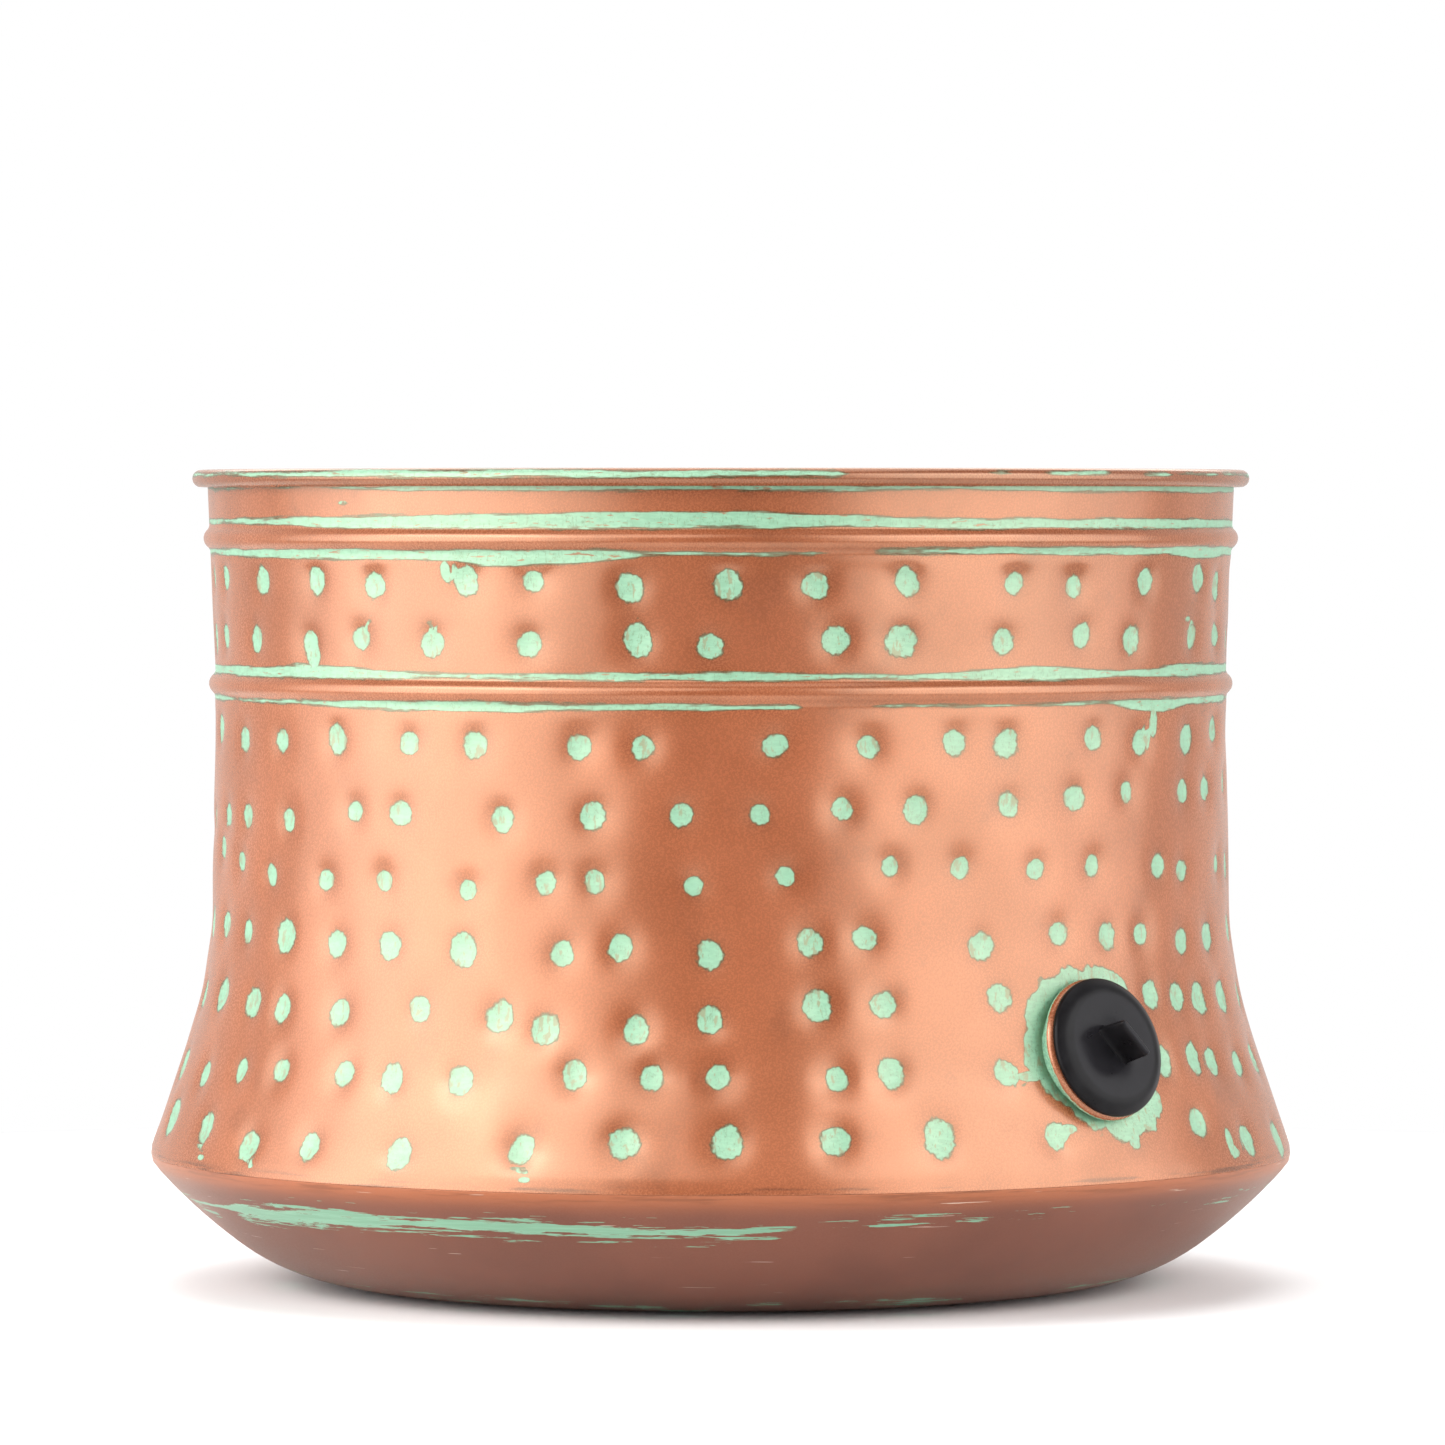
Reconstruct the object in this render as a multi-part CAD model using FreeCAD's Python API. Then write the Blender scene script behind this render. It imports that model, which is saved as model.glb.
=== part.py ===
"""Garden hose pot: a wide hammered-metal pot with an open top and a plugged hose port.

The pot is two sheet pieces, a flaring wall with a wired rim and a spun base bowl, joined at
the widest line (the knuckle). A lipped collar, clinched over a backing ring, lines the port
low in the wall, and a rubber plug with a pull tab closes it.

Millimetres, +Z up. The origin is the centre of the underside. The front is -Y.
Every sheet piece is a strip of constant thickness, drawn by walking along one of its faces.
"""
import FreeCAD
import Part

import math
import os

from FreeCAD import Placement, Rotation, Vector

# ---- driving dimensions -------------------------------------------------------------------
SHEET = 0.9                 # thickness of the wall and of the bowl
KNUCKLE_RADIUS = 224.5      # widest line of the pot
KNUCKLE_LOWER_BEND = 6.5    # bend radius of the bowl's edge, just under the widest line
KNUCKLE_UPPER_BEND = 15.0   # bend radius of the wall's edge, just over it

# bowl, from its flat bottom outwards: bend radius and turn in degrees of each round stretch
BOWL_ARCS = ((170.0, 8.2), (82.0, 28.0), (205.0, 12.5))
DRAIN_HOLE_RADIUS = 6.0

# wall, from the knuckle up
FLARE_SLOPE = 19.0          # degrees from upright, where the wall flares most
FLARE_STRAIGHT = 36.5
FLARE_BEND = 215.0          # radius that brings the flare back to nearly upright
WAIST_LEAN = 0.8            # degrees inwards
WAIST_LENGTH = 73.0
COLLAR_LEAN = 2.4           # degrees outwards, from the lower bead to the rim
BETWEEN_BEADS = 46.4
BEAD_WIDTH = 10.4
BEAD_HEIGHT = 2.5
BEAD_CROWN_SHARE = 0.66     # how much of a bead's round is its crown, the rest is its fillets
NECK_LENGTH = 18.4
RIM_ROLL_RADIUS = 3.4       # outside of the curled rim
RIM_CURL = 285.0            # degrees of curl
WIRE_GAP = 0.2

# joint of the wall and the bowl
SEAM_GAP = 0.1
JOGGLE_TURN = 8.0           # last degrees of the bowl's edge, where it steps inwards
FLANGE_STRAIGHT = 5.0

# hose port
PORT_AZIMUTH = 42.0         # degrees from the front towards +X
PORT_TILT = 16.5            # degrees up, square to the wall
PORT_BORE_RADIUS = 23.0
COLLAR_SHEET = 1.0
LIP_ROLL_RADIUS = 2.2
LIP_CURL = 250.0            # degrees of curl
COLLAR_TOP = 7.0            # lip above the wall
COLLAR_INNER_END = -5.9
CLINCH_BEND = 1.4
CLINCH_FLAT = 3.5
PORT_FIT = 0.1
RING_OUTER_RADIUS = 29.5
RING_THICKNESS = 1.4

# rubber plug
PLUG_CLEARANCE = 0.3
PLUG_CAP_RADIUS = 26.8
PLUG_CAP_EDGE = 2.2
PLUG_FACE_RADIUS = 20.5
PLUG_FACE_HEIGHT = 5.6      # flat face above the lip
PLUG_STEM_END = -7.0
PLUG_STEM_TAPER = 1.5
PLUG_WALL = 4.0
TAB_LENGTH = 17.0
TAB_REACH = 12.5
TAB_THICKNESS = 3.6
TAB_CORNER = 3.5
TAB_TURN = -53.0            # degrees, seen from outside, from level to the tab's long side

UP = Vector(0, 0, 1)
ORIGIN = Vector(0, 0, 0)


# ---- walking a sheet's outline --------------------------------------------------------------
def left_of(heading):
    """Unit vector to the left of a heading, in the (radius, height) half plane."""
    angle = math.radians(heading)
    return Vector(-math.sin(angle), 0, math.cos(angle))


def ahead_of(heading):
    """Unit vector along a heading, in the (radius, height) half plane."""
    angle = math.radians(heading)
    return Vector(math.cos(angle), 0, math.sin(angle))


def walk(start, heading, steps, offset=0.0):
    """Edges along steps, shifted to the left by offset, with the end point and heading.

    A step is ("go", length) or ("turn", radius, degrees), where a left turn is positive.
    """
    point = start + left_of(heading) * offset
    edges = []
    for step in steps:
        if step[0] == "go":
            target = point + ahead_of(heading) * step[1]
            edges.append(Part.LineSegment(point, target).toShape())
        else:
            side = math.copysign(1.0, step[2])
            radius = step[1] - side * offset
            centre = point + left_of(heading) * (side * radius)
            halfway = centre - left_of(heading + step[2] / 2) * (side * radius)
            heading += step[2]
            target = centre - left_of(heading) * (side * radius)
            edges.append(Part.Arc(point, halfway, target).toShape())
        point = target
    return edges, point, heading


def strip(start, heading, steps, near=0.0, far=SHEET):
    """Face between two offsets of one walk."""
    near_edges, near_end, _ = walk(start, heading, steps, near)
    far_edges, far_end, _ = walk(start, heading, steps, far)
    near_start = start + left_of(heading) * near
    far_start = start + left_of(heading) * far
    caps = [Part.LineSegment(near_start, far_start).toShape(),
            Part.LineSegment(near_end, far_end).toShape()]
    edges = Part.__sortEdges__(near_edges + far_edges + caps)
    return Part.Face(Part.Wire(edges))


def spin(face):
    """Solid swept by a face about the pot's axis, or about a local Z axis."""
    return face.revolve(ORIGIN, UP, 360)


def polygon(points):
    """Face inside straight lines between (radius, height) points."""
    corners = [Vector(radius, 0, height) for radius, height in points]
    return Part.Face(Part.makePolygon(corners + corners[:1]))


# ---- routes of the two sheets ---------------------------------------------------------------
def bowl_route():
    """Start, heading and steps of the bowl's outer face, from its drain hole to the joggle."""
    edge_turn = 90.0 - sum(turn for _, turn in BOWL_ARCS)
    arcs = list(BOWL_ARCS) + [(KNUCKLE_LOWER_BEND, edge_turn)]
    reach = 0.0
    heading = 0.0
    for radius, turn in arcs:
        end = heading + turn
        reach += radius * (math.sin(math.radians(end)) - math.sin(math.radians(heading)))
        heading = end
    flat = KNUCKLE_RADIUS - reach - DRAIN_HOLE_RADIUS
    steps = [("go", flat)]
    steps += [("turn", radius, turn) for radius, turn in BOWL_ARCS]
    steps.append(("turn", KNUCKLE_LOWER_BEND, edge_turn - JOGGLE_TURN))
    return Vector(DRAIN_HOLE_RADIUS, 0, 0), 0.0, steps


JOGGLE = [("turn", KNUCKLE_LOWER_BEND, JOGGLE_TURN)]


def knuckle_point():
    """Point of the outer face where the bowl ends and the wall starts."""
    start, heading, steps = bowl_route()
    return walk(start, heading, steps + JOGGLE)[1]


def bead(lean_change=0.0):
    """Steps of one half-round bead, which may also change the wall's lean."""
    turn = math.degrees(2 * math.atan(2 * BEAD_HEIGHT / BEAD_WIDTH))
    bends = BEAD_WIDTH / 2 / math.sin(math.radians(turn))
    crown = bends * BEAD_CROWN_SHARE
    fillet = bends - crown
    return [("turn", fillet, -turn), ("turn", crown, 2 * turn),
            ("turn", fillet, -turn - lean_change)]


def neck_steps():
    """Steps of the wall's outer face from the knuckle to the start of the rim's curl."""
    steps = [("turn", KNUCKLE_UPPER_BEND, FLARE_SLOPE),
             ("go", FLARE_STRAIGHT),
             ("turn", FLARE_BEND, WAIST_LEAN - FLARE_SLOPE),
             ("go", WAIST_LENGTH)]
    steps += bead(WAIST_LEAN + COLLAR_LEAN)
    steps.append(("go", BETWEEN_BEADS))
    steps += bead()
    steps.append(("go", NECK_LENGTH))
    return steps


def rim_centre():
    """Centre of the rim's curl in the (radius, height) half plane."""
    _, end, heading = walk(knuckle_point(), 90.0, neck_steps())
    return end - left_of(heading) * (RIM_ROLL_RADIUS - SHEET)


def port_placement():
    """Placement whose local Z runs out of the port, with local X level, at the wall's face."""
    steps = [("turn", KNUCKLE_UPPER_BEND, FLARE_SLOPE),
             ("go", FLARE_STRAIGHT),
             ("turn", FLARE_BEND, PORT_TILT - FLARE_SLOPE)]
    _, spot, _ = walk(knuckle_point(), 90.0, steps)
    azimuth = math.radians(PORT_AZIMUTH)
    tilt = math.radians(PORT_TILT)
    outward = Vector(math.sin(azimuth), -math.cos(azimuth), 0)
    level = Vector(math.cos(azimuth), math.sin(azimuth), 0)
    axis = outward * math.cos(tilt) + UP * math.sin(tilt)
    place = outward * spot.x + UP * spot.z
    return Placement(place, Rotation(level, axis.cross(level), axis, "ZXY"))


def at_port(shape):
    """Copy of a shape made about local Z, moved to the port."""
    moved = shape.copy()
    moved.Placement = port_placement()
    return moved


# ---- pieces ---------------------------------------------------------------------------------
def side_wall():
    """Hammered wall: one sheet with two beads, a wired rim curl and the port's hole."""
    curl = [("turn", RIM_ROLL_RADIUS - SHEET, -RIM_CURL)]
    start = knuckle_point() + UP * SEAM_GAP
    wall = spin(strip(start, 90.0, neck_steps() + curl))
    hole_radius = PORT_BORE_RADIUS + COLLAR_SHEET + PORT_FIT
    reach = RING_OUTER_RADIUS
    cutter = Part.makeCylinder(hole_radius, 2 * reach, UP * -reach)
    return wall.cut(at_port(cutter))


def base_bowl():
    """Spun bowl with a flat bottom, a drain hole and a joggled flange inside the wall."""
    start, heading, steps = bowl_route()
    shell = strip(start, heading, steps + JOGGLE)
    _, joggle_start, joggle_heading = walk(start, heading, steps)
    flange_near = SHEET + SEAM_GAP
    flange_far = flange_near + SHEET
    joggle = strip(joggle_start, joggle_heading, JOGGLE, 0.0, flange_far)
    flange_steps = [("turn", KNUCKLE_UPPER_BEND, FLARE_SLOPE), ("go", FLANGE_STRAIGHT)]
    flange = strip(knuckle_point(), 90.0, flange_steps, flange_near, flange_far)
    bowl = spin(shell).fuse([spin(joggle), spin(flange)])
    return bowl.removeSplitter()


def rim_wire():
    """Round wire that the rim is curled around."""
    centre = rim_centre()
    wire_radius = RIM_ROLL_RADIUS - SHEET - WIRE_GAP
    return Part.makeTorus(centre.x, wire_radius, UP * centre.z)


def port_collar():
    """Eyelet that lines the port: rolled lip outside, clinched end inside."""
    start = Vector(PORT_BORE_RADIUS + CLINCH_BEND + CLINCH_FLAT, 0, COLLAR_INNER_END)
    barrel = COLLAR_TOP - COLLAR_INNER_END - CLINCH_BEND - LIP_ROLL_RADIUS
    steps = [("go", CLINCH_FLAT), ("turn", CLINCH_BEND, -90.0),
             ("go", barrel), ("turn", LIP_ROLL_RADIUS, -LIP_CURL)]
    return at_port(spin(strip(start, 180.0, steps, 0.0, -COLLAR_SHEET)))


def port_backing_ring():
    """Flat ring inside the wall that the eyelet's end is clinched over."""
    inner = PORT_BORE_RADIUS + CLINCH_BEND + PORT_FIT
    low = COLLAR_INNER_END + COLLAR_SHEET + PORT_FIT
    high = low + RING_THICKNESS
    ring = polygon([(inner, low), (RING_OUTER_RADIUS, low), (RING_OUTER_RADIUS, high),
                    (inner, high)])
    return at_port(spin(ring))


def pull_tab(face_height):
    """Fin that stands out of the plug's face, with rounded outer corners."""
    half = TAB_LENGTH / 2
    sunk = PLUG_CAP_EDGE
    block = Part.makeBox(TAB_LENGTH, TAB_THICKNESS, TAB_REACH + sunk,
                         Vector(-half, -TAB_THICKNESS / 2, face_height - sunk))
    top = face_height + TAB_REACH
    corners = [edge for edge in block.Edges
               if abs(edge.CenterOfMass.z - top) < 0.01 and abs(edge.CenterOfMass.x) > half - 0.01]
    tab = block.makeFillet(TAB_CORNER, corners)
    tab.rotate(ORIGIN, UP, TAB_TURN)
    return tab


def port_plug():
    """Rubber plug: hollow stem, cap that rests on the lip, raised round face and pull tab."""
    seat = COLLAR_TOP + PLUG_CLEARANCE
    face_height = seat + PLUG_FACE_HEIGHT
    stem = PORT_BORE_RADIUS - PLUG_CLEARANCE
    hollow = stem - PLUG_WALL
    edge_top = seat + PLUG_CAP_EDGE
    shoulder = (PLUG_CAP_RADIUS + PLUG_FACE_RADIUS) / 2
    shoulder_top = edge_top + (face_height - edge_top) * 0.75
    body = spin(polygon([
        (0, seat - PLUG_WALL / 2), (hollow, seat - PLUG_WALL / 2), (hollow, PLUG_STEM_END),
        (stem - PLUG_STEM_TAPER, PLUG_STEM_END), (stem, PLUG_STEM_END + 2 * PLUG_STEM_TAPER),
        (stem, seat), (PLUG_CAP_RADIUS, seat), (PLUG_CAP_RADIUS, edge_top),
        (shoulder, shoulder_top), (PLUG_FACE_RADIUS, face_height), (0, face_height)]))
    return at_port(body.fuse(pull_tab(face_height)).removeSplitter())


# ---- output ---------------------------------------------------------------------------------
PIECES = (side_wall, base_bowl, rim_wire, port_collar, port_backing_ring, port_plug)


def main():
    os.makedirs("parts", exist_ok=True)
    for piece in PIECES:
        shape = piece()
        box = shape.BoundBox
        shape.exportStep("parts/" + piece.__name__ + ".step")
        print(f"{piece.__name__}: {len(shape.Solids)} solid, valid {shape.isValid()}, "
              f"{shape.Volume / 1000:.1f} cm3, z {box.ZMin:.2f} to {box.ZMax:.2f}, "
              f"x {box.XMin:.2f} to {box.XMax:.2f}")
    port = port_placement()
    print("port at", port.Base, "axis", port.Rotation.multVec(UP))


main()
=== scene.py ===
"""Look of the garden hose pot: hammered copper-coloured wall with mint-green paint, spun bowl,
rolled rim, hose port and rubber plug.

The sheet pieces are walked and turned again here, with dents and paint edges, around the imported
frame. Lengths in the driving values are millimetres, and meshes are written in metres.
Azimuths are degrees from the front (-Y) towards +X.
"""

import math
import random

import bmesh
import bpy
import numpy as np
from mathutils import Matrix, Vector


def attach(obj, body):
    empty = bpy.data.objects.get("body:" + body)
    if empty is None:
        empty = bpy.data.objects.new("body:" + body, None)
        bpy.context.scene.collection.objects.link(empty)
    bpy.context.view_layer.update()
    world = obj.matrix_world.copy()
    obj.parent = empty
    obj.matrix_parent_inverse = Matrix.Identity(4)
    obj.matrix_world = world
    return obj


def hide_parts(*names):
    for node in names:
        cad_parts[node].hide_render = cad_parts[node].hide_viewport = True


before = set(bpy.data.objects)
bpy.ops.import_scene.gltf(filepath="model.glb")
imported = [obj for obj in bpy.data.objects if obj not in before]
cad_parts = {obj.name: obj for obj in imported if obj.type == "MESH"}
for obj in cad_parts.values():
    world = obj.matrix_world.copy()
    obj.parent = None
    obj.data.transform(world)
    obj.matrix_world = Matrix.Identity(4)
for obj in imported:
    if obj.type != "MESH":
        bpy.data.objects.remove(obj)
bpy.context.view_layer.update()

MM = 0.001

# ---- driving values of the sheets ---------------------------------------------------------
SHEET = 0.9
KNUCKLE_RADIUS = 224.5
KNUCKLE_LOWER_BEND = 6.5
KNUCKLE_UPPER_BEND = 15.0
BOWL_ARCS = ((170.0, 8.2), (82.0, 28.0), (205.0, 12.5))
DRAIN_HOLE_RADIUS = 6.0
FLARE_SLOPE = 19.0
FLARE_STRAIGHT = 36.5
FLARE_BEND = 215.0
WAIST_LEAN = 0.8
WAIST_LENGTH = 73.0
COLLAR_LEAN = 2.4
BETWEEN_BEADS = 46.4
BEAD_WIDTH = 10.4
BEAD_HEIGHT = 2.5
BEAD_CROWN_SHARE = 0.66
NECK_LENGTH = 18.4
RIM_ROLL_RADIUS = 3.4
RIM_CURL = 285.0
SEAM_GAP = 0.1
JOGGLE_TURN = 8.0
FLANGE_STRAIGHT = 5.0

# ---- driving values of the port and its plug ----------------------------------------------
PORT_AZIMUTH = 42.0
PORT_TILT = 16.5
PORT_BORE_RADIUS = 23.0
COLLAR_SHEET = 1.0
LIP_ROLL_RADIUS = 2.2
LIP_CURL = 250.0
COLLAR_TOP = 7.0
COLLAR_INNER_END = -5.9
CLINCH_BEND = 1.4
CLINCH_FLAT = 3.5
PORT_FIT = 0.1
PLUG_CLEARANCE = 0.3
PLUG_CAP_RADIUS = 26.8
PLUG_FACE_RADIUS = 20.5
PLUG_FACE_HEIGHT = 5.6
PLUG_STEM_END = -7.0
PLUG_WALL = 4.0
TAB_LENGTH = 17.0
TAB_REACH = 12.5
TAB_THICKNESS = 3.4
TAB_TURN = -53.0
TAB_SQUARENESS = 0.42        # power that makes the tab's oval section squarer
PLUG_DISH = 0.25             # how far the plug's face sinks in its middle

# ---- mesh density ---------------------------------------------------------------------------
WALL_COLUMNS = 440
BOWL_COLUMNS = 360
LATHE_COLUMNS = 128
TAB_COLUMNS = 40
FINE_ROW = 0.9               # spacing of rows at the heights where bands of paint lie
WALL_ROW = 2.8
BOWL_ROW = 3.6
CURL_ROW = 1.6
FLANGE_ROW = 3.0
INNER_ROW = 5.0
EYELET_ROW = 0.5
EDGE_SHARE = 0.06            # place of the row that keeps a sheet's edge crisp
WALL_PAINT_HEIGHTS = ((226.0, 247.0), (282.0, 305.0), (309.0, math.inf))
BOWL_PAINT_HEIGHTS = ((30.0, 43.0), (0.5, 5.0))


# ---- walking a sheet's outline --------------------------------------------------------------
def left_of(heading):
    angle = math.radians(heading)
    return np.array([-math.sin(angle), math.cos(angle)])


def ahead_of(heading):
    angle = math.radians(heading)
    return np.array([math.cos(angle), math.sin(angle)])


def trace(start, heading, steps, offset=0.0, spacing=0.7):
    """Closely spaced (radius, height) points along steps, shifted to the left by offset."""
    point = np.array(start, float)
    points = [point + left_of(heading) * offset]
    for step in steps:
        if step[0] == "go":
            count = math.ceil(step[1] / spacing)
            for i in range(1, count + 1):
                along = point + ahead_of(heading) * (step[1] * i / count)
                points.append(along + left_of(heading) * offset)
            point = point + ahead_of(heading) * step[1]
        else:
            side = math.copysign(1.0, step[2])
            centre = point + left_of(heading) * (side * step[1])
            length = step[1] * math.radians(abs(step[2]))
            count = math.ceil(max(length / spacing, abs(step[2]) / 12))
            for i in range(1, count + 1):
                left = left_of(heading + step[2] * i / count)
                points.append(centre + left * (offset - side * step[1]))
            heading += step[2]
            point = centre - left_of(heading) * (side * step[1])
    return np.array(points), point, heading


def thin(points, spacing, painted=()):
    """Points of a close trace about spacing apart, or finer at painted heights."""
    kept = [points[0]]
    for point in points[1:-1]:
        fine = any(low < point[1] < high for low, high in painted)
        if np.linalg.norm(point - kept[-1]) >= (FINE_ROW if fine else spacing):
            kept.append(point)
    kept.append(points[-1])
    return np.array(kept)


def with_edges(points):
    """The points with one more close to each end, which keeps the sheet's edges crisp."""
    first = points[0] + (points[1] - points[0]) * EDGE_SHARE
    last = points[-1] + (points[-2] - points[-1]) * EDGE_SHARE
    return np.vstack([points[:1], [first], points[1:-1], [last], points[-1:]])


def bowl_route():
    edge_turn = 90.0 - sum(turn for _, turn in BOWL_ARCS)
    reach = 0.0
    heading = 0.0
    for radius, turn in list(BOWL_ARCS) + [(KNUCKLE_LOWER_BEND, edge_turn)]:
        end = heading + turn
        reach += radius * (math.sin(math.radians(end)) - math.sin(math.radians(heading)))
        heading = end
    flat = KNUCKLE_RADIUS - reach - DRAIN_HOLE_RADIUS
    steps = [("go", flat)]
    steps += [("turn", radius, turn) for radius, turn in BOWL_ARCS]
    steps.append(("turn", KNUCKLE_LOWER_BEND, edge_turn - JOGGLE_TURN))
    return (DRAIN_HOLE_RADIUS, 0.0), 0.0, steps


JOGGLE = [("turn", KNUCKLE_LOWER_BEND, JOGGLE_TURN)]
BOWL_START, BOWL_HEADING, BOWL_STEPS = bowl_route()
_, JOGGLE_START, JOGGLE_HEADING = trace(BOWL_START, BOWL_HEADING, BOWL_STEPS)
_, KNUCKLE, _ = trace(BOWL_START, BOWL_HEADING, BOWL_STEPS + JOGGLE)


def bead(lean_change=0.0):
    turn = math.degrees(2 * math.atan(2 * BEAD_HEIGHT / BEAD_WIDTH))
    bends = BEAD_WIDTH / 2 / math.sin(math.radians(turn))
    crown = bends * BEAD_CROWN_SHARE
    fillet = bends - crown
    return [("turn", fillet, -turn), ("turn", crown, 2 * turn),
            ("turn", fillet, -turn - lean_change)]


NECK = ([("turn", KNUCKLE_UPPER_BEND, FLARE_SLOPE), ("go", FLARE_STRAIGHT),
         ("turn", FLARE_BEND, WAIST_LEAN - FLARE_SLOPE), ("go", WAIST_LENGTH)]
        + bead(WAIST_LEAN + COLLAR_LEAN) + [("go", BETWEEN_BEADS)] + bead()
        + [("go", NECK_LENGTH)])
CURL = [("turn", RIM_ROLL_RADIUS - SHEET, -RIM_CURL)]


def port_axes():
    """Point on the wall's face, level direction, up-slope direction and outward axis."""
    steps = [("turn", KNUCKLE_UPPER_BEND, FLARE_SLOPE), ("go", FLARE_STRAIGHT),
             ("turn", FLARE_BEND, PORT_TILT - FLARE_SLOPE)]
    _, spot, _ = trace(KNUCKLE, 90.0, steps)
    azimuth, tilt = math.radians(PORT_AZIMUTH), math.radians(PORT_TILT)
    outward = np.array([math.sin(azimuth), -math.cos(azimuth), 0.0])
    level = np.array([math.cos(azimuth), math.sin(azimuth), 0.0])
    axis = outward * math.cos(tilt) + np.array([0.0, 0.0, math.sin(tilt)])
    place = outward * spot[0] + np.array([0.0, 0.0, spot[1]])
    return place, level, np.cross(axis, level), axis


PORT_PLACE, PORT_LEVEL, PORT_RISE, PORT_AXIS = port_axes()


def port_coordinates(x, y, z):
    """Coordinates in the port's own frame: level, up the wall, and outwards."""
    dx, dy, dz = x - PORT_PLACE[0], y - PORT_PLACE[1], z - PORT_PLACE[2]
    return [dx * way[0] + dy * way[1] + dz * way[2]
            for way in (PORT_LEVEL, PORT_RISE, PORT_AXIS)]


# ---- paint and dents of the wall ------------------------------------------------------------
# rows of dents: how many go round, the azimuth of one, size of its dabs, height by azimuth
DENT_ROWS = (
    (34, 1.0, 1.0, ((-80, 276), (80, 276))),
    (34, 0.0, 1.05, ((-80, 255), (80, 255))),
    (35, 4.0, 0.95, ((-80, 217), (80, 217))),
    (37, 4.0, 0.9, ((-80, 185), (0, 192), (70, 197))),
    (38, -2.0, 0.88, ((-80, 175), (-55, 162), (0, 165), (20, 171), (75, 166))),
    (40, -1.0, 1.05, ((-80, 142), (0, 140), (10, 144), (40, 144), (55, 140))),
    (40, 1.0, 1.05, ((-80, 115), (-25, 116), (-15, 110), (10, 121), (30, 121), (55, 115))),
    (40, 1.0, 1.05, ((-80, 86), (-17, 94), (11, 94), (50, 91))),
    (33, 1.0, 1.22, ((-74, 68), (-52, 62), (-10, 68), (14, 70), (35, 68), (58, 60))),
)
DEEPER_ROWS = 6              # rows from this one down are struck harder
DEEPER_SHARE = 1.2           # and this many times as deep
DENT_SCATTER = (2.3, 1.8)    # most that a dent strays from its row's pitch (degrees) and height
DAB_HALF_WIDTH = 4.9
DAB_HALF_HEIGHT = 5.1
# dents beside the port, as degrees and millimetres from its axis
PORT_DENTS = ((-11, 22), (-11.5, -6), (-7, -30), (-13, 41), (-2.5, 45), (5, 43), (11, 43),
              (11.5, 20), (11, -5), (17, 18), (17.5, -5), (14.5, -29))
PORT_CLEAR = (70.0, 52.0)    # sideways and up from the port, where the rows have no dents

# azimuth, height, half width and half height of paint away from the dents
EXTRA_DABS = (
    (-51, 248, 4.0, 4.5), (-42, 262, 2.2, 1.0), (-33, 261.5, 2.2, 1.0), (64, 262, 2.4, 1.0),
    (56, 223, 2.6, 5.5), (-31, 281, 2.0, 3.5), (-63, 56, 2.6, 1.1), (-53, 55.5, 2.4, 1.0),
    (-19, 56, 2.2, 1.0), (61.5, 62, 2.8, 5.0), (62, 58, 4.0, 1.7), (45, 68, 3.4, 4.6),
    (42.5, 72, 3.0, 3.0), (49, 106, 1.6, 2.0), (33, 92, 6.0, 1.8), (36.5, 72, 4.5, 1.8),
    (-45, 306.5, 2.4, 0.9),
)

# distance from the port's axis that the splash of paint reaches, by angle from level
SPLASH_REACH = (
    (0, 29), (20, 31), (45, 34), (60, 35), (90, 34), (110, 31), (130, 36), (142, 37),
    (155, 31), (165, 33), (180, 32), (195, 31), (205, 29), (230, 28.5), (250, 30.5),
    (270, 31.5), (290, 35), (305, 39), (325, 39), (335, 33), (350, 28), (360, 31))

# bands of paint beside the beads: azimuth, lowest and highest height (crossed where there is none)
BANDS = (
    ((-90, 299.0, 300.2), (-60, 298.4, 300.6), (-45, 297.2, 301.6), (-7, 297.2, 303.2),
     (5, 297.4, 303.2), (14, 297.6, 301.8), (25, 297.2, 300.6), (70, 297.0, 300.2),
     (90, 297.2, 300.0)),
    ((-90, 286.4, 288.8), (-55, 286.0, 289.0), (-30, 285.0, 289.0), (-26, 283.4, 289.2),
     (-15, 283.8, 289.0), (-8, 286.6, 288.4), (0, 287.2, 287.9), (10, 287.2, 288.2),
     (12, 289.0, 287.0), (15, 289.0, 287.0), (17, 287.4, 289.0), (30, 287.2, 290.0),
     (58, 287.0, 289.6), (64, 285.4, 290.0), (72, 285.6, 289.8), (90, 287.0, 289.4)),
    ((-90, 240.4, 243.2), (-60, 240.0, 243.8), (-54, 240.0, 245.4), (-46, 240.0, 244.6),
     (-38, 240.4, 243.0), (-20, 240.6, 242.8), (0, 240.4, 243.4), (20, 240.8, 242.6),
     (36, 240.0, 245.0), (41, 240.2, 244.6), (50, 240.8, 242.8), (62, 240.0, 244.8),
     (72, 240.2, 244.6), (90, 240.8, 243.0)),
    ((-90, 230.0, 231.2), (-78, 230.0, 231.6), (-70, 230.6, 231.3), (-50, 229.8, 231.6),
     (-38, 228.8, 232.0), (-23, 229.0, 231.9), (0, 229.9, 231.5), (8, 230.0, 231.4),
     (9.5, 232.0, 230.0), (15.5, 232.0, 230.0), (17, 230.5, 231.3), (48, 230.4, 231.4),
     (52, 228.0, 231.8), (58, 226.5, 231.9), (64, 229.2, 231.8), (78, 229.4, 231.6),
     (90, 230.2, 231.2)),
    ((-90, 311.8, 312.2), (-40, 311.8, 312.2), (-36, 311.0, 313.6), (30, 311.4, 313.4),
     (34, 310.8, 314.0), (80, 310.8, 314.0), (90, 311.2, 313.4)),
)
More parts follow.
